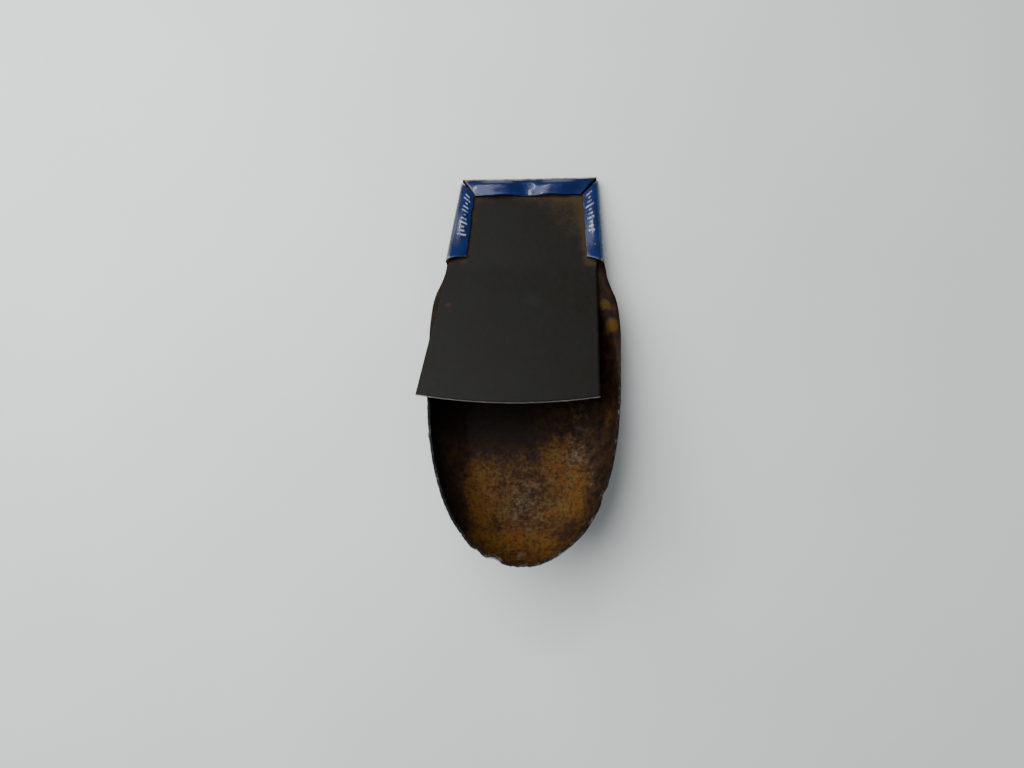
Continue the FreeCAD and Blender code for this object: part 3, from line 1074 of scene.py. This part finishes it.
@dataclass
class PrintRow:
    """A row of small worn marks printed along a side tab: bars and dots in turn.

    The start and the length are shares of the way along the tab's fold, and across and tall
    are shares of the tab's width. Every third mark is a full bar, and the others shrink
    towards a dot, the least share of a bar's height.
    """

    place: SheetPlace
    tab: FoldedTab
    start: float
    length: float
    count: int
    across: float
    seed: int
    tall: float = 0.42
    wide: float = 0.40
    dot: float = 0.34
    uneven: tuple[float, float] = (0.82, 1.12)
    thick: float = 0.012

    def marks_tree(self, material: bpy.types.Material) -> bpy.types.NodeTree:
        """The rule that lays the marks out along a line from 0 to 1.

        Args:
            material: the print's finish.

        Returns:
            The node tree, with Count, Wide, Tall and Seed for its inputs.
        """
        tree = bpy.data.node_groups.new("print_marks", "GeometryNodeTree")
        face = tree.interface
        face.new_socket("Geometry", in_out="INPUT", socket_type="NodeSocketGeometry")
        for name, kind in (("Count", "Int"), ("Wide", "Float"), ("Tall", "Float"), ("Seed", "Int")):
            face.new_socket(name, in_out="INPUT", socket_type=f"NodeSocket{kind}")
        face.new_socket("Geometry", in_out="OUTPUT", socket_type="NodeSocketGeometry")
        nodes = tree.nodes
        given = nodes.new("NodeGroupInput")
        line = nodes.new("GeometryNodeMeshLine")
        line.mode = "END_POINTS"
        line.inputs["Offset"].default_value = (1.0, 0.0, 0.0)
        mark = nodes.new("GeometryNodeMeshGrid")
        mark.inputs["Vertices X"].default_value = 3
        mark.inputs["Vertices Y"].default_value = 7
        index = nodes.new("GeometryNodeInputIndex")
        turn = nodes.new("ShaderNodeMath")
        turn.operation = "MODULO"
        turn.inputs[1].default_value = 3.0
        short = nodes.new("ShaderNodeMapRange")
        short.inputs["From Max"].default_value = 2.0
        short.inputs["To Min"].default_value = 1.0
        short.inputs["To Max"].default_value = self.dot
        wobble = nodes.new("FunctionNodeRandomValue")
        wobble.inputs[2].default_value, wobble.inputs[3].default_value = self.uneven
        tall = nodes.new("ShaderNodeMath")
        tall.operation = "MULTIPLY"
        scale = nodes.new("ShaderNodeCombineXYZ")
        scale.inputs["Z"].default_value = 1.0
        copies = nodes.new("GeometryNodeInstanceOnPoints")
        real = nodes.new("GeometryNodeRealizeInstances")
        dress = nodes.new("GeometryNodeSetMaterial")
        dress.inputs["Material"].default_value = material
        out = nodes.new("NodeGroupOutput")
        wires = (
            (given.outputs["Count"], line.inputs["Count"]),
            (given.outputs["Wide"], mark.inputs["Size X"]),
            (given.outputs["Tall"], mark.inputs["Size Y"]),
            (given.outputs["Seed"], wobble.inputs["Seed"]),
            (index.outputs[0], turn.inputs[0]),
            (turn.outputs[0], short.inputs["Value"]),
            (short.outputs["Result"], tall.inputs[0]),
            (wobble.outputs[1], tall.inputs[1]),
            (wobble.outputs[1], scale.inputs["X"]),
            (tall.outputs[0], scale.inputs["Y"]),
            (line.outputs["Mesh"], copies.inputs["Points"]),
            (mark.outputs["Mesh"], copies.inputs["Instance"]),
            (scale.outputs[0], copies.inputs["Scale"]),
            (copies.outputs[0], real.inputs[0]),
            (real.outputs[0], dress.inputs[0]),
            (dress.outputs[0], out.inputs[0]),
        )
        for source, target in wires:
            tree.links.new(source, target)
        return tree

    def build(self, material: bpy.types.Material) -> bpy.types.Object:
        """Makes the row of marks and lays it on the tab.

        Args:
            material: the print's finish.

        Returns:
            The finished marks.
        """
        name = f"print_marks_{self.tab.side.value}"
        carrier = bpy.data.objects.new(name, bpy.data.meshes.new(name + "_carrier"))
        bpy.context.scene.collection.objects.link(carrier)
        rule = carrier.modifiers.new("marks", "NODES")
        rule.node_group = self.marks_tree(material)
        spacing = 1.0 / (self.count - 1)
        sizes = {"Count": self.count, "Wide": spacing * self.wide, "Tall": self.tall,
                 "Seed": self.seed}
        for item in rule.node_group.interface.items_tree:
            if item.in_out == "INPUT" and item.name in sizes:
                rule[item.identifier] = sizes[item.name]
        evaluated = carrier.evaluated_get(bpy.context.evaluated_depsgraph_get())
        mesh = bpy.data.meshes.new_from_object(evaluated)
        carrier.modifiers.clear()
        carrier.data = mesh
        solid = bmesh.new()
        solid.from_mesh(mesh)
        for vertex in solid.verts:
            along = self.start + vertex.co.x * self.length
            vertex.co = self.tab.surface(along, self.across + vertex.co.y)
            vertex.co.z += self.thick / 2
        bmesh.ops.solidify(solid, geom=solid.faces[:], thickness=self.thick)
        bmesh.ops.recalc_face_normals(solid, faces=solid.faces[:])
        # The sides of the marks come in a new order each time, so the faces are sorted.
        slant = Vector((1.0, 3.7, 9.1))
        solid.faces.sort(key=lambda face: face.calc_center_median().dot(slant))
        solid.to_mesh(mesh)
        solid.free()
        self.place.put(mesh)
        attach(carrier, "shell")
        return carrier


@dataclass(frozen=True)
class SoftLight:
    """A soft light that faces the clicker: its place in metres, its sides and its power.

    It is square unless it has a height of its own.
    """

    name: str
    spot: tuple[float, float, float]
    size: float
    power: float
    colour: Colour
    height: float = 0.0

    def hang(self) -> None:
        """Adds the light to the scene."""
        lamp = bpy.data.lights.new(self.name, "AREA")
        lamp.shape = "RECTANGLE"
        lamp.size = self.size
        lamp.size_y = self.height or self.size
        lamp.energy = self.power
        lamp.color = self.colour
        holder = bpy.data.objects.new(self.name, lamp)
        spot = Vector(self.spot)
        holder.location = spot
        holder.rotation_euler = (-spot).to_track_quat("-Z", "Y").to_euler()
        bpy.context.scene.collection.objects.link(holder)


LIGHTS = (
    SoftLight("window", (-0.155, 0.065, 0.21), 0.29, 1.72, (0.97, 1.0, 0.985)),
    SoftLight("strip", (-0.05, 0.17, 0.20), 0.09, 0.15, (1.0, 1.0, 1.0), 0.012),
    SoftLight("lamp", (0.30, -0.25, 0.60), 0.30, 0.15, (1.0, 0.98, 0.95)),
)


@dataclass
class Studio:
    """The pale table, the soft lights and the camera.

    The camera stands at eye from its aim, both in millimetres on the sheet, and level is the
    way its right-hand side points there.
    """

    place: SheetPlace
    aim: Vector = field(default_factory=lambda: Vector((-1.49, -4.03, 0.0)))
    eye: Vector = field(default_factory=lambda: Vector((0.68, -29.94, 86.99)))
    level: Vector = field(default_factory=lambda: Vector((0.9997, 0.0227, 0.0)))
    lens: float = 26.4
    table_size: float = 4.0
    table_shades: tuple[Colour, Colour] = ((0.56, 0.585, 0.575), (0.60, 0.62, 0.61))
    room: Colour = (0.93, 0.97, 1.0)
    room_strength: float = 0.30

    def add_floor(self) -> None:
        """Lays the table under the clicker."""
        bpy.ops.mesh.primitive_plane_add(size=self.table_size, location=(0.0, 0.0, 0.0))
        table = bpy.context.object
        table.name = "table"
        pad = NodePad("pale_table")
        grain = pad.noise(1.6, 3.0, 0.6)
        colour = pad.mix(pad.step(pad.noise(0.02, 2.0), 0.3, 0.7), *self.table_shades)
        roughness = pad.step(grain, 0.3, 0.7, 0.42, 0.52)
        table.data.materials.append(pad.dress(colour, roughness, grain, 0.01))

    def add_lights(self) -> None:
        """Sets a pale room, a broad window on the left, a thin strip behind and a weak lamp."""
        world = bpy.data.worlds.new("pale_room")
        world.use_nodes = True
        back = world.node_tree.nodes["Background"]
        back.inputs["Color"].default_value = (*self.room, 1.0)
        back.inputs["Strength"].default_value = self.room_strength
        bpy.context.scene.world = world
        for light in LIGHTS:
            light.hang()

    def add_camera(self) -> None:
        """Sets the camera over the tongue."""
        camera = bpy.data.objects.new("camera", bpy.data.cameras.new("camera"))
        camera.data.lens = self.lens
        camera.data.sensor_width = 36.0
        camera.data.clip_start = 0.002
        turn = self.place.turn
        back = (turn @ self.eye).normalized()
        right = (turn @ self.level).normalized()
        right = (right - back * right.dot(back)).normalized()
        up = back.cross(right)
        matrix = Matrix((right, up, back)).transposed().to_4x4()
        matrix.translation = self.place.point(*(self.aim + self.eye))
        camera.matrix_world = matrix
        bpy.context.scene.collection.objects.link(camera)
        bpy.context.scene.camera = camera


def report(piece: bpy.types.Object) -> None:
    """Says what was made and how large its mesh is."""
    LOG.info("%s: %d faces", piece.name, len(piece.data.polygons))


def main() -> None:
    """Builds the clicker piece by piece, then the studio."""
    logging.basicConfig(level=logging.INFO)
    place = SheetPlace.from_frame(Vector((0.0, SteelTongue.bend, SteelTongue.height)))
    body = TinBody(place)
    report(body.build())
    report(SteelTongue(place).build())
    ink = WornPrint().material()
    rows = (
        PrintRow(place, body.tabs[Side.LEFT], start=0.335, length=0.57, count=11,
                 across=0.60, seed=3),
        PrintRow(place, body.tabs[Side.RIGHT], start=0.40, length=0.53, count=10,
                 across=0.64, seed=8),
    )
    for row in rows:
        report(row.build(ink))
    studio = Studio(place)
    studio.add_floor()
    studio.add_lights()
    studio.add_camera()


if __name__ == "__main__":
    main()
